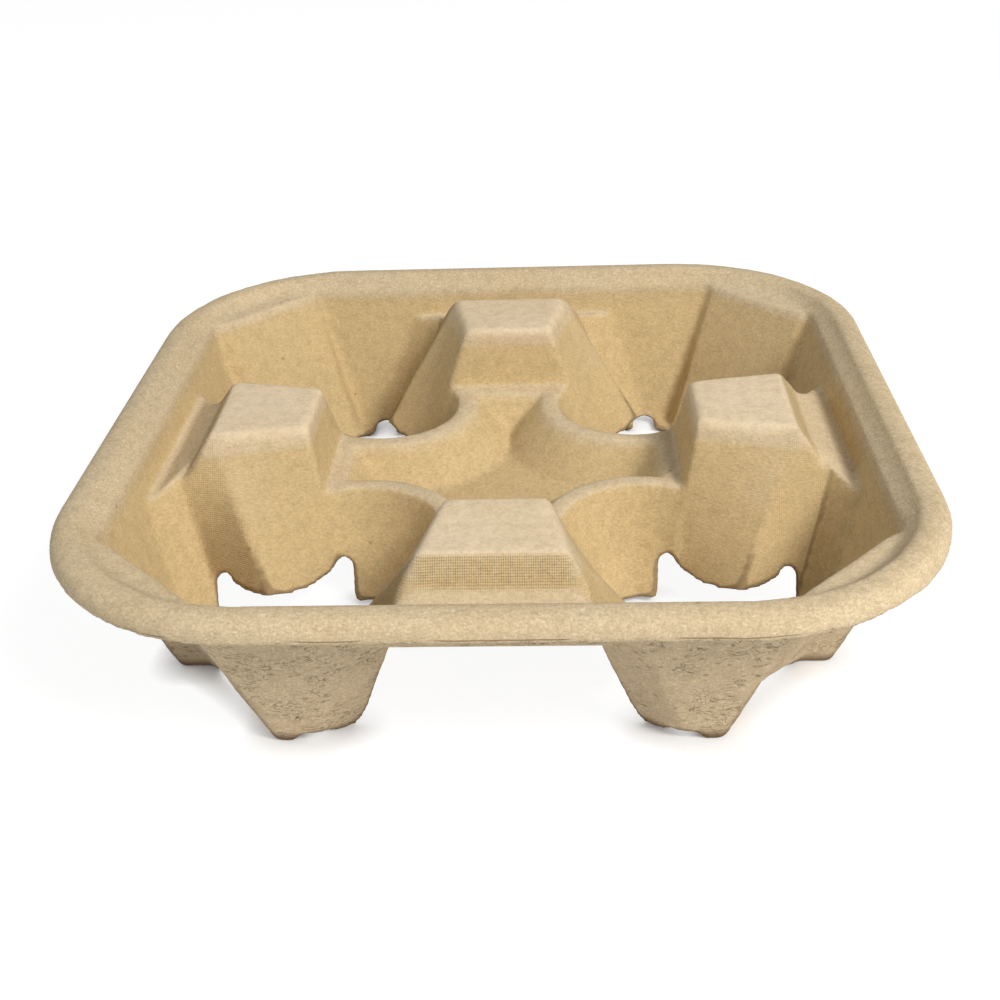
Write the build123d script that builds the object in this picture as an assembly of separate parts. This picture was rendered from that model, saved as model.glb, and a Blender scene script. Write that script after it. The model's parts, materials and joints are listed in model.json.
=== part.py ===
from build123d import *
import os
from math import atan2, cos, degrees, radians, sin, sqrt, tan

# Four-cup carrier tray, moulded from paper pulp as one thin sheet.
# Millimetres, +Z up, origin on the ground under the middle of the tray.

# Sheet and rim
side = 215.0
height = 50.0
wall = 2.2
rim_corner_radius = 54.0
lip_drop = 6.0
lip_edge_radius = 4.5
flange_width = 7.6
flange_step = 0.9
shoulder_width = 3.8
shoulder_drop = 4.0

# Tub: outer walls, foot niches and corner panels, outside faces at the ground
foot_reach = 84.7
foot_end = 54.6
panel_reach = 91.9
outer_wall_draft = 15.9
foot_end_draft = 17.7
panel_draft = 27.0
niche_radius = 2.3

# Posts between neighbouring cups
post_height = 48.7
post_inner = 52.4
post_outer = 78.0
post_inner_width = 25.0
post_outer_width = 34.5
post_inner_draft = 12.0
post_outer_draft = 34.0
post_flank_draft = 21.0
post_edge_radius = 1.6

# Ledge blocks between the posts and the rim, sloping down outwards
ledge_height = 42.0
ledge_reach = 82.5
ledge_slope = 28.5
ledge_foot_reach = 79.5
ledge_foot_width = 67.0
ledge_foot_level = 10.0
ledge_flank_angle = 56.0
ledge_flank_draft = 22.5

# Hub: level ridges that curve round the cups, with a star-shaped basin
ridge_height = 31.0
ridge_width = 4.5
hub_reach = 48.0
cup_centre = 37.0
cup_radius = 22.0
cup_draft = 22.0
basin_floor = 20.0
basin_reach = 44.5
basin_end_draft = 45.0
basin_side_draft = 48.0

# Open well bottoms: tongues, notches and feet
tongue_height = 5.8
tongue_station = 61.0
outer_notch_station = 75.5
outer_notch_height = 13.0
inner_notch_station = 44.4
inner_notch_height = 13.6
notch_radius = 2.2
hub_tongue_height = 1.0
panel_arch_width = 26.0
panel_arch_height = 4.5
foot_floor_reach = 76.5
foot_arch_station = 44.0
foot_arch_radius = 6.0
foot_arch_height = 2.6

# Working space: blocks start wider than the tray and cuts run below the ground
span = 2 * side
below = 10.0
above = height + below
half = side / 2
quarter_turns = (0, 90, 180, 270)


def face_plane(point, plan_angle, tilt):
    """Plane through a point, facing a plan angle and tilted up from level."""
    flat = cos(radians(tilt))
    facing = (flat * cos(radians(plan_angle)), flat * sin(radians(plan_angle)), sin(radians(tilt)))
    return Plane(origin=point, z_dir=facing)


def carve(planes, inset, bottom, top):
    """Convex block behind every plane, with each plane moved in by the inset."""
    block = Pos(0, 0, (bottom + top) / 2) * Box(span, span, top - bottom)
    for plane in planes:
        block = split(block, bisect_by=plane.offset(-inset), keep=Keep.BOTTOM)
    return block


def around(shape):
    """Copies of a shape at the tray's four quarter turns."""
    return [Rot(0, 0, turn) * shape for turn in quarter_turns]


def four_planes(distance, level, first_angle, tilt):
    """Four like planes round the tray, each at a distance from its middle."""
    angles = [first_angle + turn for turn in quarter_turns]
    return [face_plane((distance * cos(radians(angle)), distance * sin(radians(angle)), level), angle, tilt)
            for angle in angles]


def rising_edges(block):
    """Edges that run up the sides of a block."""
    return [edge for edge in block.edges() if abs((edge @ 1).Z - (edge @ 0).Z) > wall]


def tub(inset, bottom, top):
    """Space inside the outer walls, the foot niches and the corner panels."""
    walls = four_planes(foot_reach, 0, 0, -outer_wall_draft)
    panels = four_planes(panel_reach, 0, 45, -panel_draft)
    ends = four_planes(foot_end, 0, 0, -foot_end_draft)
    niche = carve([walls[0], ends[1], walls[2], ends[3]], inset, bottom, top)
    niche = fillet(rising_edges(niche), niche_radius)
    core = carve(walls + panels, inset, bottom, top)
    return core + niche + Rot(0, 0, 90) * niche


def rounded_frustum(low, low_half, high, high_half):
    """Rounded square block whose corners share the rim's corner centres."""
    corner_centre = half - rim_corner_radius
    sections = [Pos(0, 0, level) * RectangleRounded(2 * reach, 2 * reach, reach - corner_centre)
                for level, reach in ((low, low_half), (high, high_half))]
    return loft(sections, ruled=True)


def rim():
    """Flat flange with a rounded edge and a turned-down lip, bevelled inside where it is hidden."""
    lip_level = height - lip_drop
    outside = rounded_frustum(lip_level, half, height, half)
    outside = fillet(outside.edges().group_by(Axis.Z)[-1], lip_edge_radius)
    inside = rounded_frustum(lip_level, half - wall, height - wall, half - wall)
    inside_bevel = (lip_edge_radius - wall) * (2 - sqrt(2))
    inside = chamfer(inside.edges().group_by(Axis.Z)[-1], inside_bevel)
    return outside - inside


def mouth():
    """Space inside the rim: a small step below the flange, then a sloping shoulder."""
    step_level = height - flange_step
    step_half = half - flange_width
    floor_level = height - shoulder_drop
    step = rounded_frustum(step_level, step_half, above, step_half)
    return step + rounded_frustum(floor_level, step_half - shoulder_width, step_level, step_half)


def mouth_shell():
    """The mouth's shoulder and floor, thickened outwards by the wall."""
    drop = shoulder_drop - flange_step
    slope = shoulder_width / drop
    run = wall * sqrt(1 + slope * slope)
    low = height - shoulder_drop - wall
    high = height - wall
    low_half = half - flange_width - shoulder_width + run - wall * slope
    return rounded_frustum(low, low_half, high, low_half + (high - low) * slope)


def post(inset):
    """Tapered post on the +X side, wider towards the rim."""
    splay = degrees(atan2((post_outer_width - post_inner_width) / 2, post_outer - post_inner))
    planes = [Plane(origin=(0, 0, post_height)),
              face_plane((post_outer, 0, post_height), 0, post_outer_draft),
              face_plane((post_inner, 0, post_height), 180, post_inner_draft)]
    for hand in (1, -1):
        flank_edge = (post_inner, hand * post_inner_width / 2, post_height)
        planes.append(face_plane(flank_edge, hand * (90 + splay), post_flank_draft))
    block = carve(planes, inset, -below, above)
    if inset == 0:
        block = fillet(block.faces().sort_by(Axis.Z)[-1].edges(), post_edge_radius)
    return block


def ledge(inset):
    """Block between post and rim, sloping down outwards, spreading towards the rim."""
    planes = [face_plane((ledge_reach, 0, ledge_height), 0, 90 - ledge_slope),
              face_plane(((post_inner + post_outer) / 2, 0, 0), 180, 0)]
    for hand in (1, -1):
        foot = (ledge_foot_reach, hand * ledge_foot_width / 2, ledge_foot_level)
        planes.append(face_plane(foot, hand * (90 + ledge_flank_angle), ledge_flank_draft))
    return carve(planes, inset, -below, above)


def cup_cones(ridge_radius, slope, bottom, top):
    """Cones round the four cup axes, given their radius at the ridges."""
    low_radius = ridge_radius + (bottom - ridge_height) * slope
    high_radius = ridge_radius + (top - ridge_height) * slope
    cone = Cone(low_radius, high_radius, top - bottom)
    return around(Pos(cup_centre, cup_centre, (bottom + top) / 2) * cone)


def basin(grow):
    """Star-shaped hollow of the hub, with arms that reach towards the posts."""
    low = basin_floor - grow
    high = ridge_height + wall
    ends = four_planes(basin_reach, ridge_height, 0, -basin_end_draft)
    slope = tan(radians(basin_side_draft))
    side_radius = cup_radius + ridge_width - grow / cos(radians(basin_side_draft))
    return carve(ends, -grow, low, high) - cup_cones(side_radius, -slope, low, high)


def hub(inset):
    """Middle of the tray: ridges round the cups and the basin between them."""
    sides = four_planes(hub_reach, 0, 45, 0)
    top = ridge_height - inset
    well_radius = cup_radius + inset / cos(radians(cup_draft))
    wells = cup_cones(well_radius, tan(radians(cup_draft)), -below, top)
    return carve(sides, 0, -below, top) - wells - basin(inset)


def raised_form(inset):
    """Everything that stands up between the cups."""
    form = hub(inset)
    return form + around(post(inset)) + around(ledge(inset))


def foot_floors():
    """Slabs along the four sides that close the feet at the bottom."""
    depth = half - foot_floor_reach
    slab = Box(depth, side, wall + below)
    return around(Pos(foot_floor_reach + depth / 2, 0, (wall - below) / 2) * slab)


def tongue_cuts():
    """Openings under the post flanks: a round tongue between two notches."""
    inner, outer, r = inner_notch_station, outer_notch_station, notch_radius
    inner_shoulder = inner_notch_height - r
    outer_shoulder = outer_notch_height - r
    outline = Line((inner - r, -below), (outer + r, -below))
    outline += Line((outer + r, -below), (outer + r, outer_shoulder))
    outline += ThreePointArc((outer + r, outer_shoulder), (outer, outer_notch_height),
                             (outer - r, outer_shoulder))
    outline += ThreePointArc((outer - r, outer_shoulder), (tongue_station, tongue_height),
                             (inner + r, inner_shoulder))
    outline += ThreePointArc((inner + r, inner_shoulder), (inner, inner_notch_height),
                             (inner - r, inner_shoulder))
    outline += Line((inner - r, inner_shoulder), (inner - r, -below))
    near = post_inner_width / 2
    far = (ledge_foot_width + ledge_foot_reach) / 4 + wall
    cut = Pos(0, far, 0) * extrude(Plane.XZ * make_face(outline), far - near)
    return around(cut) + around(mirror(cut, about=Plane.XZ))


def arch_cut(radius, rise, distance, offset, length):
    """Level round bar under the sheet that leaves an arch of the given rise."""
    bar = Rot(0, 90, 0) * Cylinder(radius, length)
    return Pos(distance, offset, rise - radius) * bar


def bottom_cuts():
    """Edges of the open well bottoms, and the arches under the feet."""
    hub_size = 2 * inner_notch_station
    hub_edge = Pos(0, 0, (hub_tongue_height - below) / 2) * Box(hub_size, hub_size, hub_tongue_height + below)
    panel_radius = (panel_arch_width ** 2 / 4 + panel_arch_height ** 2) / (2 * panel_arch_height)
    bar_length = 2 * (half - panel_reach)
    panel_arch = Rot(0, 0, 45) * arch_cut(panel_radius, panel_arch_height, panel_reach, 0, bar_length)
    cuts = [hub_edge] + around(panel_arch)
    for hand in (1, -1):
        cuts += around(arch_cut(foot_arch_radius, foot_arch_height, foot_reach,
                                hand * foot_arch_station, bar_length))
    return cuts


def cup_carrier():
    """The whole tray: walls round the cup space, hollow under the raised forms."""
    tub_top = height - shoulder_drop
    cup_space = tub(wall, -below, tub_top) + mouth()
    cup_space -= raised_form(0)
    cup_space -= foot_floors()
    tray = rim() + tub(0, 0, tub_top) + mouth_shell()
    tray -= cup_space
    tray -= raised_form(wall)
    tray -= tongue_cuts()
    tray -= bottom_cuts()
    return tray


os.makedirs("parts", exist_ok=True)
export_step(cup_carrier(), "parts/cup_carrier.step")
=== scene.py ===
import json
import math
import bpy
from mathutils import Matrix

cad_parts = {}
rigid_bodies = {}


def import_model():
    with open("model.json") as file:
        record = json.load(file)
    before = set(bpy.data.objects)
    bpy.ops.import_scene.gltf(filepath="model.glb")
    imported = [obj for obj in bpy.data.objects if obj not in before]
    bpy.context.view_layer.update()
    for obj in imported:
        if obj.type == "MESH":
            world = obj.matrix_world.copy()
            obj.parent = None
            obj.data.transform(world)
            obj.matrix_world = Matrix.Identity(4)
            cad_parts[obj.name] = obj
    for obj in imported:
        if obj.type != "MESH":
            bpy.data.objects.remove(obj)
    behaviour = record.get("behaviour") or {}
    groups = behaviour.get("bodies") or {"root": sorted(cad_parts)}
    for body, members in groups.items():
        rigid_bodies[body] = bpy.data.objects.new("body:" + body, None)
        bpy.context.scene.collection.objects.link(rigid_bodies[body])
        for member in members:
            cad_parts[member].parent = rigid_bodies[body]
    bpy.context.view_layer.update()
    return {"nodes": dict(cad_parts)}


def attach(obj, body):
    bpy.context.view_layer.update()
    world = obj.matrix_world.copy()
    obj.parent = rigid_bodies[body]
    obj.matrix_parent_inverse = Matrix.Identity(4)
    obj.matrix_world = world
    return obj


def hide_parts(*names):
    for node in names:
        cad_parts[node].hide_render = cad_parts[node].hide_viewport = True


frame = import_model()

from types import SimpleNamespace

import bpy
import numpy as np
from mathutils import Matrix, Vector

bl_info = {
    "name": "Moulded Pulp Cup Carrier",
    "version": (1, 0, 0),
    "blender": (4, 5, 0),
    "location": "3D View > Sidebar > Cup Carrier",
    "description": "Dresses a moulded-pulp cup carrier tray and its plain studio stage",
    "category": "Object",
}

TRAY_NODE = "cup_carrier"
MM = 0.001
MERGE_DISTANCE = 0.01 * MM
WEIGHT_STEPS = 100
BEND_SPREADS = 4

# The tray is alike on its four sides, so places on it are given as reach, the larger distance
# from the middle along x or y, beside, the smaller one, and height.

# A flank of a post: the inner end of the top's edge, the direction that the flank faces, the reach
# where it starts to swell, and how far behind and ahead of its plane the sheet swells with it
FLANK_EDGE = (52.4 * MM, 12.5 * MM, 48.7 * MM)
FLANK_FACING = (-0.170, 0.918, 0.358)
FLANK_START = 48.0 * MM
FLANK_BEHIND = 6 * MM
FLANK_AHEAD = 4 * MM
FLANK_FADE = 2 * MM

# Lines on a flank, as reach at the ground and outward lean with height: the fold that starts at
# the top's outer corner, and the crease where the ledge begins
POST_FOLD_FOOT = 55.9 * MM
POST_FOLD_LEAN = 0.442
POST_CREASE_FOOT = 76.0 * MM
POST_CREASE_LEAN = 0.278

# Ragged lower edge of the lip: where it starts and how softly, and the centre of the rim's corners
LIP_LEVEL = 46.5 * MM
LIP_LEVEL_FADE = 2.5 * MM
LIP_REACH = 103.0 * MM
LIP_REACH_FADE = 1.5 * MM
RIM_CORNER_CENTRE = 53.5 * MM

# Rough outside of the walls: upper border and inner border
OUTSIDE_TOP = 40 * MM
OUTSIDE_TOP_FADE = 4 * MM
OUTSIDE_REACH = 84 * MM
OUTSIDE_REACH_FADE = 6 * MM

# Borders between zones of the looks, each from its beginning to its end
TOP_LEVEL = (45.5 * MM, 47.5 * MM)
TOP_REACH = (77.0 * MM, 80.0 * MM)
TOP_BESIDE = (16.0 * MM, 19.0 * MM)
OUTER_FACE_START = (77.2 * MM, 78.8 * MM)
OUTER_FACE_END = (82.0 * MM, 84.0 * MM)
OUTER_FACE_FOOT = (40.5 * MM, 41.8 * MM)
OUTER_FACE_TOP = (47.8 * MM, 48.8 * MM)
FLANK_NEAR = (16.5 * MM, 18.0 * MM)
FLANK_FAR = (46.0 * MM, 48.0 * MM)
FLANK_REACH = (50.0 * MM, 56.0 * MM)
FOLD_WIDTH = (-2.2 * MM, 2.2 * MM)
CREASE_WIDTH = (-1.0 * MM, 0.5 * MM)
RIDGE_LEVEL = (28.0 * MM, 31.0 * MM)
FLANGE_LEVEL = (42.5 * MM, 45.0 * MM)
RIM_LEVEL = (40.0 * MM, 43.0 * MM)
RIM_REACH = (82.0 * MM, 100.0 * MM)
LIP_CRACK_LEVEL = 45.3 * MM
LIP_CRACK_WANDER = 2.5 * MM
LIP_CRACK_WIDTH = (0.08 * MM, 0.30 * MM)
LIP_CRACK_REACH = (102.0 * MM, 104.5 * MM)
CREASE_LINE_WANDER = 1.5 * MM
CREASE_LINE_WIDTH = (0.2 * MM, 0.8 * MM)
TORN_TOP = (18.0 * MM, 24.0 * MM)
# Top of the painted contact shadow on the feet
SOLE_SHADE_TOP = (0.6 * MM, 4.5 * MM)
RELIEF = 0.30 * MM

WHITE = (1.0, 1.0, 1.0, 1.0)
FIBRE_TONE = (0.86, 0.76, 0.58, 1.0)
POST_TOP_TONE = (0.86, 0.70, 0.50, 1.0)
RIM_TONE = (0.56, 0.44, 0.28, 1.0)

# Floor: strength and share of the white that the camera sees, and reach and borders of the
# contact shadow
FLOOR_GLOW = 1.10
FLOOR_GLOW_SHARE = 0.84
CONTACT_REACH = 8 * MM
CONTACT_OPEN = (0.35, 0.85)

# Camera, solved from the rim's outline in the photograph: turns in radians, and place
CAMERA_PITCH = 0.5168
CAMERA_YAW = 0.0519
CAMERA_ROLL = -0.0395
CAMERA_PLACE = (0.01588, -0.34079, 0.21177)
SENSOR_WIDTH = 36.0


class CupCarrierPulp(bpy.types.PropertyGroup):
    """Sizes and colours of the pulp sheet."""

    grain: bpy.props.FloatProperty(
        name="Grain", description="Edge length of the remeshed sheet",
        default=0.9 * MM, min=0.5 * MM, unit="LENGTH", precision=5)
    keep: bpy.props.FloatProperty(
        name="Keep", description="Share of the remeshed faces that stay after thinning",
        default=0.40, min=0.1, max=1.0)
    soften: bpy.props.IntProperty(
        name="Soften", description="Smoothing passes that round the moulded edges", default=8, min=0)
    lump: bpy.props.FloatProperty(
        name="Lumps", description="Height of the uneven lumps in the sheet",
        default=0.45 * MM, unit="LENGTH", precision=5)
    pimple: bpy.props.FloatProperty(
        name="Pimples", description="Height of the fine unevenness of the sheet",
        default=0.16 * MM, unit="LENGTH", precision=5)
    ragged: bpy.props.FloatProperty(
        name="Ragged edge", description="How far the lip's lower edge wanders",
        default=1.0 * MM, unit="LENGTH", precision=5)
    swell: bpy.props.FloatProperty(
        name="Swell",
        description="How far the posts' flanks bulge into the wells at the foot of the fold",
        default=12.0 * MM, unit="LENGTH", precision=5)
    lift: bpy.props.FloatProperty(
        name="Lift", description="Rise of the bulging flanks, as a share of the swell", default=0.66)
    screen_pitch: bpy.props.FloatProperty(
        name="Screen pitch", description="Wire spacing of the forming screen printed on the posts",
        default=0.52 * MM, unit="LENGTH", precision=5)
    # Pale and Warm split the sheet by facing: level faces are painted paler as painted light, steep
    # walls and the lower wells warmer and darker as painted shade.
    pale: bpy.props.FloatVectorProperty(
        name="Pale", description="Colour of the level, pressed surfaces",
        subtype="COLOR", size=3, default=(0.680, 0.545, 0.355), min=0.0, max=1.0)
    warm: bpy.props.FloatVectorProperty(
        name="Warm", description="Colour of the steep walls inside",
        subtype="COLOR", size=3, default=(0.645, 0.480, 0.248), min=0.0, max=1.0)
    grey: bpy.props.FloatVectorProperty(
        name="Grey", description="Colour of the rough outside",
        subtype="COLOR", size=3, default=(0.640, 0.510, 0.335), min=0.0, max=1.0)
    # Fleck is also the colour of the painted shade in the screen's pits, the corners and crease
    # turned left, and the feet's bottoms.
    fleck_and_shade: bpy.props.FloatVectorProperty(
        name="Fleck", description="Colour of the dark flecks, cracks and torn edges",
        subtype="COLOR", size=3, default=(0.150, 0.090, 0.040), min=0.0, max=1.0)


class CupCarrierStage(bpy.types.PropertyGroup):
    """Floor, lamps and camera."""

    floor_size: bpy.props.FloatProperty(
        name="Floor", description="Side of the floor", default=12.0, unit="LENGTH")
    floor_colour: bpy.props.FloatVectorProperty(
        name="Floor colour", description="Colour of the floor",
        subtype="COLOR", size=3, default=(0.85, 0.85, 0.85), min=0.0, max=1.0)
    key_power: bpy.props.FloatProperty(
        name="Key", description="Power of the large lamp at the upper right",
        default=20.0, unit="POWER")
    fill_power: bpy.props.FloatProperty(
        name="Fill", description="Power of the lamp in front", default=1.8, unit="POWER")
    side_power: bpy.props.FloatProperty(
        name="Side", description="Power of the low, cool lamp at the left", default=2.4, unit="POWER")
    sky: bpy.props.FloatProperty(
        name="Sky", description="Strength of the even light from all round", default=0.28)
    lens: bpy.props.FloatProperty(
        name="Lens", description="Focal length of the camera", default=49.3)


class Wire:
    """A value socket that takes part in plain arithmetic."""

    def __init__(self, tree, socket):
        self.tree = tree
        self.socket = socket

    def math(self, operation, first, second=0.0):
        made = self.tree.node("ShaderNodeMath", {"operation": operation}, {0: first, 1: second})
        return Wire(self.tree, made.outputs[0])

    def __add__(self, other):
        return self.math("ADD", self, other)

    __radd__ = __add__

    def __sub__(self, other):
        return self.math("SUBTRACT", self, other)

    def __rsub__(self, other):
        return self.math("SUBTRACT", other, self)

    def __mul__(self, other):
        return self.math("MULTIPLY", self, other)

    __rmul__ = __mul__

    def __abs__(self):
        return self.math("ABSOLUTE", self)

    def larger(self, other):
        return self.math("MAXIMUM", self, other)

    def smaller(self, other):
        return self.math("MINIMUM", self, other)

    def sine(self):
        return self.math("SINE", self)

    def step(self, low, high):
        """Smooth rise from 0 at low to 1 at high."""
        made = self.tree.node("ShaderNodeMapRange", {"interpolation_type": "SMOOTHSTEP"},
                              {"Value": self, "From Min": low, "From Max": high})
        return Wire(self.tree, made.outputs[0])

    def fall(self, low, high):
        """Smooth fall from 1 at low to 0 at high."""
        return 1.0 - self.step(low, high)


class Tree:
    """Node tree of a material or of the world."""

    def __init__(self, owner):
        owner.use_nodes = True
        self.tree = owner.node_tree
        self.tree.nodes.clear()

    def node(self, kind, settings=None, sockets=None):
        """Adds a node: its settings first, then the values or links of its sockets."""
        made = self.tree.nodes.new(kind)
        for key, value in (settings or {}).items():
            setattr(made, key, value)
        for key, value in (sockets or {}).items():
            if isinstance(value, Wire):
                value = value.socket
            if isinstance(value, bpy.types.NodeSocket):
                self.tree.links.new(value, made.inputs[key])
            else:
                made.inputs[key].default_value = value
        return made

    def value(self, kind, settings=None, sockets=None, output=0):
        return Wire(self, self.node(kind, settings, sockets).outputs[output])

    def attribute(self, name):
        """Number stored on the mesh."""
        return self.value("ShaderNodeAttribute", {"attribute_name": name}, output="Fac")

    def parts(self, vector):
        """The three numbers of a vector."""
        made = self.node("ShaderNodeSeparateXYZ", None, {0: vector})
        return [Wire(self, made.outputs[i]) for i in range(3)]

    def noise(self, place, scale, detail, roughness=0.55, distortion=0.0):
        return self.value("ShaderNodeTexNoise", None,
                          {"Vector": place, "Scale": scale, "Detail": detail,
                           "Roughness": roughness, "Distortion": distortion})

    def cells(self, place, scale):
        """Scattered cells: the distance from their middles, and a random value for each."""
        made = self.node("ShaderNodeTexVoronoi", None, {"Vector": place, "Scale": scale})
        return Wire(self, made.outputs["Distance"]), Wire(self, made.outputs["Color"])

    def stretch(self, place, factors):
        made = self.node("ShaderNodeVectorMath", {"operation": "MULTIPLY"}, {0: place, 1: factors})
        return made.outputs[0]

    def mix(self, factor, first, second):
        """Colour between two colours."""
        made = self.node("ShaderNodeMix", {"data_type": "RGBA"}, {0: factor, 6: first, 7: second})
        return made.outputs[2]


def colour(values):
    """Colour property as four numbers."""
    return (values[0], values[1], values[2], 1.0)


def clear_selection():
    """Leaves nothing selected, in object mode."""
    if bpy.context.object and bpy.context.object.mode != "OBJECT":
        bpy.ops.object.mode_set(mode="OBJECT")
    bpy.ops.object.select_all(action="DESELECT")


def take(piece):
    """Makes one object the only selected and active one."""
    clear_selection()
    piece.select_set(True)
    bpy.context.view_layer.objects.active = piece


def apply_modifier(piece, kind, name, **settings):
    """Adds a modifier, sets it and applies it."""
    take(piece)
    made = piece.modifiers.new(name, kind)
    for key, value in settings.items():
        setattr(made, key, value)
    bpy.ops.object.modifier_apply(modifier=made.name)


def points_of(mesh):
    """Places of all vertices as rows."""
    flat = np.zeros(len(mesh.vertices) * 3, np.float32)
    mesh.vertices.foreach_get("co", flat)
    return flat.reshape(-1, 3)


def normals_of(mesh):
    """Directions that all vertices face, as rows."""
    flat = np.zeros(len(mesh.vertices) * 3, np.float32)
    mesh.vertices.foreach_get("normal", flat)
    return flat.reshape(-1, 3)


def fade(values, start, length):
    """Straight rise from 0 at a start to 1 after a length."""
    return np.clip((values - start) / length, 0, 1)


def weight_group(piece, name, weights):
    """Vertex group from one weight for each vertex."""
    group = piece.vertex_groups.new(name=name)
    for step in range(1, WEIGHT_STEPS + 1):
        chosen = np.nonzero(np.round(weights * WEIGHT_STEPS) == step)[0]
        if len(chosen):
            group.add(chosen.tolist(), step / WEIGHT_STEPS, "REPLACE")


def push(piece, weights, direction, strength):
    """Moves the vertices along an axis, each by its own share of the strength."""
    weight_group(piece, "push", weights)
    apply_modifier(piece, "DISPLACE", "push", direction=direction, strength=strength,
                   mid_level=0.0, vertex_group="push")
    piece.vertex_groups.clear()


def ruffle(piece, name, size, depth, **settings):
    """Displaces the surface in and out by a cloud pattern with features of a given size."""
    pattern = bpy.data.textures.new(name, "CLOUDS")
    pattern.noise_scale = size
    pattern.noise_depth = depth
    apply_modifier(piece, "DISPLACE", name, texture=pattern, texture_coords="LOCAL",
                   mid_level=0.5, **settings)


def swell_weights(places, pulp):
    """Share of the swell at each point: full at the fold's foot, 0 at the hub, ledge and top."""
    across = np.abs(places[:, :2])
    reach, beside, rise = across.max(axis=1), across.min(axis=1), places[:, 2]
    drop = np.clip(1.0 - rise / FLANK_EDGE[2], 0, 1)
    fold = POST_FOLD_FOOT + POST_FOLD_LEAN * (rise + pulp.lift * pulp.swell * drop)
    crease = POST_CREASE_FOOT + POST_CREASE_LEAN * rise
    before_fold = (reach - FLANK_START) / (fold - FLANK_START)
    after_fold = (crease - reach) / (crease - fold)
    tent = np.clip(np.minimum(before_fold, after_fold), 0, 1)
    apart = np.column_stack((reach, beside, rise)) - np.array(FLANK_EDGE)
    off_flank = apart @ np.array(FLANK_FACING)
    on_sheet = fade(off_flank, -FLANK_BEHIND, FLANK_FADE) * fade(-off_flank, -FLANK_AHEAD, FLANK_FADE)
    return tent * on_sheet * drop


def swell_flanks(piece, pulp):
    """Bulges the flanks of the posts sideways into the wells, and lifts them."""
    places = points_of(piece.data)
    weights = swell_weights(places, pulp)
    own_axis = np.argmax(np.abs(places[:, :2]), axis=1)
    for column, axis in enumerate("XY"):
        for hand in (1, -1):
            mine = (own_axis != column) & (np.sign(places[:, column]) == hand)
            push(piece, weights * mine, axis, hand * pulp.swell)
    push(piece, weights, "Z", pulp.lift * pulp.swell)


def lip_weights(places):
    """1 on the lip's lower edge, fading out above it and inside the rim."""
    across = np.abs(places[:, :2])
    past_centre = np.maximum(across - RIM_CORNER_CENTRE, 0)
    round_corner = np.hypot(past_centre[:, 0], past_centre[:, 1]) + RIM_CORNER_CENTRE
    in_corner = (across > RIM_CORNER_CENTRE).all(axis=1)
    reach = np.where(in_corner, round_corner, across.max(axis=1))
    return fade(LIP_LEVEL - places[:, 2], 0, LIP_LEVEL_FADE) * fade(reach, LIP_REACH, LIP_REACH_FADE)


def roughen(piece, pulp):
    """Gives the sheet broad lumps, fine pimples and a ragged lip."""
    ruffle(piece, "lumps", 12 * MM, 1, strength=pulp.lump)
    ruffle(piece, "pimples", 2.5 * MM, 1, strength=pulp.pimple)
    weight_group(piece, "lip", lip_weights(points_of(piece.data)))
    ruffle(piece, "ragged_lip", 6 * MM, 2, direction="Z", strength=pulp.ragged, vertex_group="lip")
    piece.vertex_groups.clear()


def store_bend(mesh):
    """Stores how sharply the sheet bends at each vertex: above 0 on ridges and edges."""
    places, facing = points_of(mesh), normals_of(mesh)
    ends = np.zeros(len(mesh.edges) * 2, np.int32)
    mesh.edges.foreach_get("vertices", ends)
    ends = ends.reshape(-1, 2)
    total = np.zeros(len(places))
    count = np.zeros(len(places))
    along = places[ends[:, 1]] - places[ends[:, 0]]
    length = np.maximum(np.linalg.norm(along, axis=1), 1e-9)
    for here, sign in ((ends[:, 0], -1.0), (ends[:, 1], 1.0)):
        np.add.at(total, here, sign * np.einsum("ij,ij->i", facing[here], along) / length)
        np.add.at(count, here, 1)
    bend = total / np.maximum(count, 1)
    for _ in range(BEND_SPREADS):
        spread = np.zeros(len(places))
        np.add.at(spread, ends[:, 0], bend[ends[:, 1]])
        np.add.at(spread, ends[:, 1], bend[ends[:, 0]])
        bend = 0.5 * bend + 0.5 * spread / np.maximum(count, 1)
    made = mesh.attributes.new("bend", "FLOAT", "POINT")
    made.data.foreach_set("value", bend.astype(np.float32))


def store_facing(mesh):
    """Stores the direction that each vertex faces."""
    made = mesh.attributes.new("facing", "FLOAT_VECTOR", "POINT")
    made.data.foreach_set("vector", normals_of(mesh).ravel())


def store_outside(mesh):
    """Stores 1 on the rough outside and underside of the sheet and 0 on its smooth inside."""
    places, facing = points_of(mesh), normals_of(mesh)
    reach = np.maximum(np.linalg.norm(places[:, :2], axis=1), 1e-6)
    outward = np.einsum("ij,ij->i", places[:, :2], facing[:, :2]) / reach
    under = fade(-facing[:, 2], 0.05, 0.25)
    wall = fade(outward, 0.35, 0.3) * fade(-places[:, 2], -OUTSIDE_TOP, OUTSIDE_TOP_FADE)
    wall *= fade(reach, OUTSIDE_REACH, OUTSIDE_REACH_FADE)
    made = mesh.attributes.new("outside", "FLOAT", "POINT")
    made.data.foreach_set("value", np.maximum(under, wall).astype(np.float32))


def pulp_place(tree):
    """Where a point of the sheet lies, which way it faces and what is stored on it."""
    place = tree.node("ShaderNodeTexCoord").outputs["Object"]
    facing = tree.node("ShaderNodeAttribute", {"attribute_name": "facing"}).outputs["Vector"]
    x, y, z = tree.parts(place)
    nx, ny, nz = tree.parts(facing)
    outside = tree.attribute("outside")
    return SimpleNamespace(
        place=place, x=x, y=y, z=z, nx=nx, ny=ny, nz=nz,
        reach=abs(x).larger(abs(y)), beside=abs(x).smaller(abs(y)),
        bend=tree.attribute("bend"), outside=outside, inside=1.0 - outside)


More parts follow.
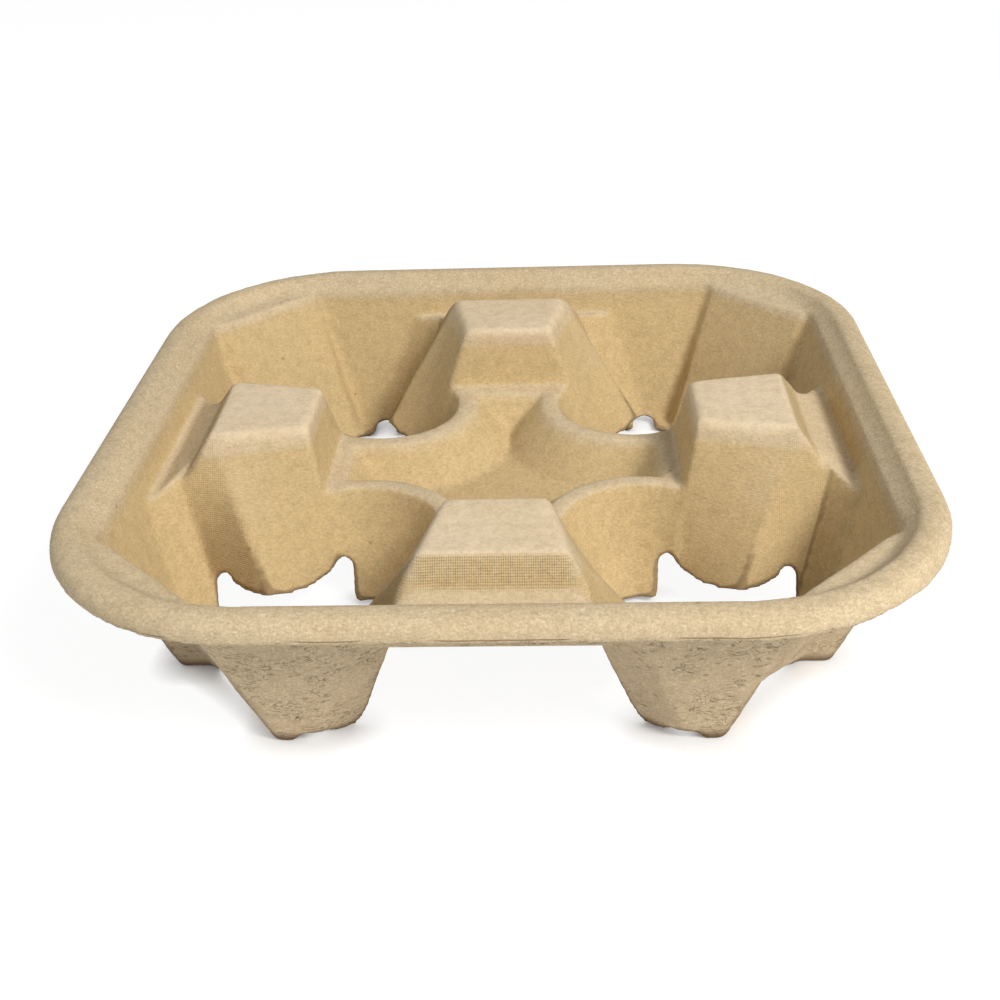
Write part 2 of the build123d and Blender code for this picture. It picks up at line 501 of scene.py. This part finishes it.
def pulp_patterns(tree, place):
    """Scattered patterns of the pulp, from broad clouds to fine grain."""
    flat = tree.stretch(place, (1.0, 1.0, 2.0))
    flatter = tree.stretch(place, (1.0, 1.0, 2.2))
    broad = tree.stretch(place, (0.7, 0.7, 1.6))
    cloudy = tree.noise(place, scale=34.0, detail=3.0)
    strands = tree.noise(flatter, scale=380.0, detail=3.0, roughness=0.6, distortion=1.4)
    cracks = tree.noise(flat, scale=170.0, detail=3.0, roughness=0.62, distortion=0.9)
    cracked = tree.noise(place, scale=95.0, detail=1.0).step(0.44, 0.56)
    speck_apart, speck_chance = tree.cells(place, scale=150.0)
    chip_apart, chip_chance = tree.cells(broad, scale=330.0)
    return SimpleNamespace(
        cloudy=cloudy,
        patchy=cloudy.step(0.30, 0.55),
        mottle=tree.noise(place, scale=310.0, detail=3.0, roughness=0.6),
        grain=tree.noise(place, scale=1800.0, detail=2.0, roughness=0.6),
        weave=tree.noise(flat, scale=950.0, detail=3.0, roughness=0.68),
        strand_lines=abs(strands - 0.5).fall(0.0, 0.03),
        crack_lines=abs(cracks - 0.5).fall(0.0, 0.015) * cracked,
        specks=speck_apart.fall(0.05, 0.11) * speck_chance.step(0.72, 0.77),
        chips=chip_apart.fall(0.10, 0.24) * chip_chance.step(0.40, 0.45),
        pale_specks=chip_apart.fall(0.08, 0.19) * chip_chance.fall(0.40, 0.45))


def post_zones(at, pattern):
    """Faces and lines of the posts, each 1 where it is and 0 elsewhere."""
    fold = at.reach - (POST_FOLD_FOOT + at.z * POST_FOLD_LEAN)
    crease = at.reach - (POST_CREASE_FOOT + at.z * POST_CREASE_LEAN)
    steep = at.nz.fall(0.70, 0.88)
    flank = at.beside.step(*FLANK_NEAR) * at.beside.fall(*FLANK_FAR) * steep * at.inside
    wandering = abs(crease + (pattern.mottle - 0.5) * CREASE_LINE_WANDER)
    outer_face = at.reach.step(*OUTER_FACE_START) * at.reach.fall(*OUTER_FACE_END)
    outer_face = outer_face * at.z.step(*OUTER_FACE_FOOT) * at.z.fall(*OUTER_FACE_TOP)
    return SimpleNamespace(
        corner_face=fold.step(*FOLD_WIDTH) * crease.fall(*CREASE_WIDTH) * flank,
        flank_face=fold.fall(*FOLD_WIDTH) * at.reach.step(*FLANK_REACH) * flank,
        crease_line=wandering.fall(*CREASE_LINE_WIDTH) * flank,
        outer_face=outer_face * at.beside.fall(*TOP_BESIDE),
        top=at.z.step(*TOP_LEVEL) * at.reach.fall(*TOP_REACH) * at.beside.fall(*TOP_BESIDE))


def screen_print(at, pattern, post, pulp):
    """Pits between the wires of the forming screen, as painted shade in the pits and as relief."""
    pitch = 2 * math.pi / pulp.screen_pitch
    wires = ((at.x * pitch).sine() * (1.0 - abs(at.nx)) + (at.y * pitch).sine() * (1.0 - abs(at.ny))
             + (at.z * pitch).sine())
    pits = (wires * -0.4 + pattern.mottle * 1.4 - 0.7).step(-0.35, 0.75)
    faint = post.corner_face * 0.55 + post.flank_face * 0.25
    pit_shade_area = post.outer_face + faint * (0.3 + 0.7 * pattern.patchy)
    return pits * pit_shade_area.smaller(1.0), pits * (post.outer_face + faint * 0.65)


def pulp_tone(tree, at, pattern, post, screen_pit_shade, pulp):
    """Colour of the pulp: one tone after another is laid over the level and the steep surfaces; the
    paler level faces and warmer steep walls are painted light and shade.
    """
    pale, warm, grey, fleck_and_shade = (colour(tone) for tone in (pulp.pale, pulp.warm, pulp.grey, pulp.fleck_and_shade))
    # Painted light and shade: level faces above the ridges get the pale tone, steep walls and
    # everything low in the wells the warmer, darker tone.
    level = (at.nz.step(0.45, 0.90) * at.z.step(*RIDGE_LEVEL)).larger(at.z.step(*FLANGE_LEVEL))
    rim = at.z.step(*RIM_LEVEL) * at.reach.step(*RIM_REACH)
    rough = rim.larger(at.outside)
    lip_line = abs(at.z + (pattern.cloudy - 0.5) * LIP_CRACK_WANDER - LIP_CRACK_LEVEL)
    lip_crack = (lip_line.fall(*LIP_CRACK_WIDTH) * at.reach.step(*LIP_CRACK_REACH)
                 * pattern.cloudy.step(0.44, 0.52))
    # Mask of the faces turned left, away from the key lamp, for painted shade.
    shade_turned_left = (0.0 - at.nx).step(0.05, 0.35)
    torn = at.bend.step(0.03, 0.09) * at.z.fall(*TORN_TOP)
    # Dark, uneven bottom edges of the feet, with painted contact shadow on them.
    sole_contact_shade = at.z.fall(*SOLE_SHADE_TOP) * at.outside
    # Painted shade in the concave creases of the sheet.
    valley_shade = (0.0 - at.bend).step(0.06, 0.22)
    layers = (
        (post.top * 0.60, POST_TOP_TONE),
        (rim * 0.22, RIM_TONE),
        (at.outside, grey),
        (pattern.cloudy.step(0.40, 0.72) * 0.22 * at.inside, warm),
        (pattern.mottle.fall(0.30, 0.62) * 0.13, fleck_and_shade),
        # Painted shade: the tilted outer faces of the posts are painted warmer and darker.
        (post.outer_face * 0.7, warm),
        (pattern.grain.fall(0.25, 0.65) * (0.10 + 0.08 * rough), fleck_and_shade),
        (pattern.grain.step(0.52, 0.75) * (0.16 + 0.12 * rough), FIBRE_TONE),
        (pattern.weave.fall(0.34, 0.58) * (0.18 - 0.08 * post.top), fleck_and_shade),
        (pattern.weave.step(0.55, 0.75) * 0.16, FIBRE_TONE),
        (pattern.strand_lines * (0.04 + 0.14 * rough), fleck_and_shade),
        (pattern.pale_specks * 0.35 * rough, FIBRE_TONE),
        (pattern.specks * 0.40, fleck_and_shade),
        (pattern.crack_lines * (0.03 + 0.60 * at.outside), fleck_and_shade),
        (pattern.chips * at.outside * 0.45, fleck_and_shade),
        (lip_crack * 0.65, fleck_and_shade),
        # Painted shade: the posts' corner faces turned left are darkened.
        (post.corner_face * shade_turned_left * 0.32, fleck_and_shade),
        # Painted shade in the crease beside the posts, on faces turned left.
        (post.crease_line * shade_turned_left * (0.10 + 0.4 * pattern.patchy), fleck_and_shade),
        # Painted shade in the screen's pits.
        (screen_pit_shade * 0.28, fleck_and_shade),
        (torn * 0.60, fleck_and_shade),
        (sole_contact_shade * 0.8, fleck_and_shade),
        (valley_shade * 0.30 * at.inside, warm),
    )
    tone = tree.mix(level, warm, pale)
    for amount, over in layers:
        tone = tree.mix(amount, tone, over)
    return tone


def pulp_material(pulp):
    """Matte fibrous pulp: level faces painted pale and steep walls painted warm as painted light and
    shade, the outside grey and cracked.
    """
    made = bpy.data.materials.new("moulded_pulp")
    tree = Tree(made)
    at = pulp_place(tree)
    pattern = pulp_patterns(tree, at.place)
    post = post_zones(at, pattern)
    screen_pit_shade, screen_pits = screen_print(at, pattern, post, pulp)
    height = (pattern.mottle * 0.40 + pattern.grain * 0.30 + pattern.weave * 0.55
              - pattern.crack_lines * (0.1 + 1.1 * at.outside) - screen_pits * 0.9)
    bump = tree.node("ShaderNodeBump", None, {"Strength": 0.7, "Distance": RELIEF, "Height": height})
    skin = tree.node("ShaderNodeBsdfPrincipled", None,
                     {"Base Color": pulp_tone(tree, at, pattern, post, screen_pit_shade, pulp),
                      "Roughness": 0.86 + 0.1 * pattern.mottle,
                      "Specular IOR Level": 0.2,
                      "Normal": bump.outputs[0]})
    tree.node("ShaderNodeOutputMaterial", None, {"Surface": skin.outputs[0]})
    return made


class CUPCARRIER_OT_tray(bpy.types.Operator):
    """Make the pulp sheet of the tray from the moulded form"""

    bl_idname = "cupcarrier.tray"
    bl_label = "Pulp Tray"

    def execute(self, context):
        pulp = context.scene.cup_carrier_pulp
        take(frame["nodes"][TRAY_NODE])
        bpy.ops.object.duplicate()
        piece = context.object
        piece.name = "pulp_tray"
        bpy.ops.object.parent_clear(type="CLEAR_KEEP_TRANSFORM")
        for key in list(piece.keys()):
            del piece[key]
        bpy.ops.object.mode_set(mode="EDIT")
        bpy.ops.mesh.select_all(action="SELECT")
        bpy.ops.mesh.remove_doubles(threshold=MERGE_DISTANCE)
        bpy.ops.object.mode_set(mode="OBJECT")

        apply_modifier(piece, "REMESH", "sheet", mode="VOXEL", voxel_size=pulp.grain,
                       use_smooth_shade=True)
        swell_flanks(piece, pulp)
        apply_modifier(piece, "SMOOTH", "soften", factor=0.5, iterations=pulp.soften)
        apply_modifier(piece, "DECIMATE", "thin", ratio=pulp.keep)
        roughen(piece, pulp)

        store_bend(piece.data)
        store_facing(piece.data)
        store_outside(piece.data)
        piece.data.materials.clear()
        piece.data.materials.append(pulp_material(pulp))
        take(piece)
        bpy.ops.object.shade_smooth()
        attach(piece, "root")
        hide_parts(TRAY_NODE)
        clear_selection()
        return {"FINISHED"}


def lamp(name, place, target, size, power, tint):
    """Square soft lamp at a place, turned to a target."""
    bpy.ops.object.light_add(type="AREA", location=place)
    made = bpy.context.object
    made.name = name
    made.data.size = size
    made.data.energy = power
    made.data.color = tint
    made.rotation_mode = "QUATERNION"
    made.rotation_quaternion = (Vector(target) - Vector(place)).to_track_quat("-Z", "Y")


def floor_material(stage):
    """Pale floor that shows white to the camera and keeps a soft shadow, darkest at the feet."""
    made = bpy.data.materials.new("pale_floor")
    tree = Tree(made)
    path = tree.node("ShaderNodeLightPath")
    seen = Wire(tree, path.outputs["Is Camera Ray"])
    plain = tree.node("ShaderNodeBsdfDiffuse", None, {"Color": colour(stage.floor_colour)})
    glow = tree.node("ShaderNodeEmission", None, {"Color": WHITE, "Strength": FLOOR_GLOW})
    clear = tree.value("ShaderNodeAmbientOcclusion", {"samples": 2}, {"Distance": CONTACT_REACH},
                       output="AO")
    shown = seen * FLOOR_GLOW_SHARE * clear.step(*CONTACT_OPEN)
    lit = tree.node("ShaderNodeMixShader", None, {0: shown, 1: plain.outputs[0], 2: glow.outputs[0]})
    tree.node("ShaderNodeOutputMaterial", None, {"Surface": lit.outputs[0]})
    return made


def sky_light(stage):
    """Even white light from all round, plain white where the camera sees it."""
    world = bpy.data.worlds.new("even_sky")
    bpy.context.scene.world = world
    tree = Tree(world)
    path = tree.node("ShaderNodeLightPath")
    seen = Wire(tree, path.outputs["Is Camera Ray"])
    strength = stage.sky + seen * (1.0 - stage.sky)
    back = tree.node("ShaderNodeBackground", None, {"Color": WHITE, "Strength": strength})
    tree.node("ShaderNodeOutputWorld", None, {"Surface": back.outputs[0]})


def camera_matrix():
    """The photograph's point of view: turned by yaw and pitch, then rolled, at its place."""
    level_right = Vector((math.cos(CAMERA_YAW), math.sin(CAMERA_YAW), 0))
    level_ahead = Vector((-math.sin(CAMERA_YAW), math.cos(CAMERA_YAW), 0))
    rise = Vector((0, 0, 1))
    ahead = math.cos(CAMERA_PITCH) * level_ahead - math.sin(CAMERA_PITCH) * rise
    level_up = math.sin(CAMERA_PITCH) * level_ahead + math.cos(CAMERA_PITCH) * rise
    right = math.cos(CAMERA_ROLL) * level_right + math.sin(CAMERA_ROLL) * level_up
    up = math.cos(CAMERA_ROLL) * level_up - math.sin(CAMERA_ROLL) * level_right
    turned = Matrix((right, up, -ahead)).transposed().to_4x4()
    turned.translation = Vector(CAMERA_PLACE)
    return turned


class CUPCARRIER_OT_stage(bpy.types.Operator):
    """Make the floor, the lamps and the camera"""

    bl_idname = "cupcarrier.stage"
    bl_label = "Plain Stage"

    def execute(self, context):
        stage = context.scene.cup_carrier_stage
        clear_selection()
        bpy.ops.mesh.primitive_plane_add(size=stage.floor_size, location=(0, 0, 0))
        floor = context.object
        floor.name = "floor"
        floor.data.materials.append(floor_material(stage))

        lamp("key_lamp", place=(0.76, -0.74, 1.06), target=(0, 0, 0.02), size=0.5,
             power=stage.key_power, tint=(1.0, 0.98, 0.94))
        lamp("fill_lamp", place=(0.15, -1.10, 0.50), target=(0, 0, 0.02), size=0.8,
             power=stage.fill_power, tint=(0.97, 0.985, 1.0))
        lamp("side_lamp", place=(-1.15, 0.22, 0.45), target=(0, 0, 0.03), size=0.5,
             power=stage.side_power, tint=(0.84, 0.93, 1.0))
        sky_light(stage)

        bpy.ops.object.camera_add()
        camera = context.object
        camera.name = "camera"
        camera.matrix_world = camera_matrix()
        camera.data.sensor_width = SENSOR_WIDTH
        camera.data.lens = stage.lens
        context.scene.camera = camera
        context.scene.view_settings.view_transform = "Standard"
        clear_selection()
        return {"FINISHED"}


class CUPCARRIER_PT_sidebar(bpy.types.Panel):
    """Sidebar panel with the tray and its stage"""

    bl_idname = "CUPCARRIER_PT_sidebar"
    bl_label = "Cup Carrier"
    bl_space_type = "VIEW_3D"
    bl_region_type = "UI"
    bl_category = "Cup Carrier"

    def draw(self, context):
        for group, button in ((context.scene.cup_carrier_pulp, CUPCARRIER_OT_tray),
                              (context.scene.cup_carrier_stage, CUPCARRIER_OT_stage)):
            box = self.layout.box()
            for name in group.__annotations__:
                box.prop(group, name)
            box.operator(button.bl_idname)


CLASSES = (CupCarrierPulp, CupCarrierStage, CUPCARRIER_OT_tray, CUPCARRIER_OT_stage,
           CUPCARRIER_PT_sidebar)


def register():
    for made in CLASSES:
        bpy.utils.register_class(made)
    bpy.types.Scene.cup_carrier_pulp = bpy.props.PointerProperty(type=CupCarrierPulp)
    bpy.types.Scene.cup_carrier_stage = bpy.props.PointerProperty(type=CupCarrierStage)


def unregister():
    del bpy.types.Scene.cup_carrier_stage
    del bpy.types.Scene.cup_carrier_pulp
    for made in reversed(CLASSES):
        bpy.utils.unregister_class(made)


def main():
    register()
    bpy.ops.cupcarrier.tray()
    bpy.ops.cupcarrier.stage()
    bpy.context.view_layer.update()


if __name__ == "__main__":
    main()
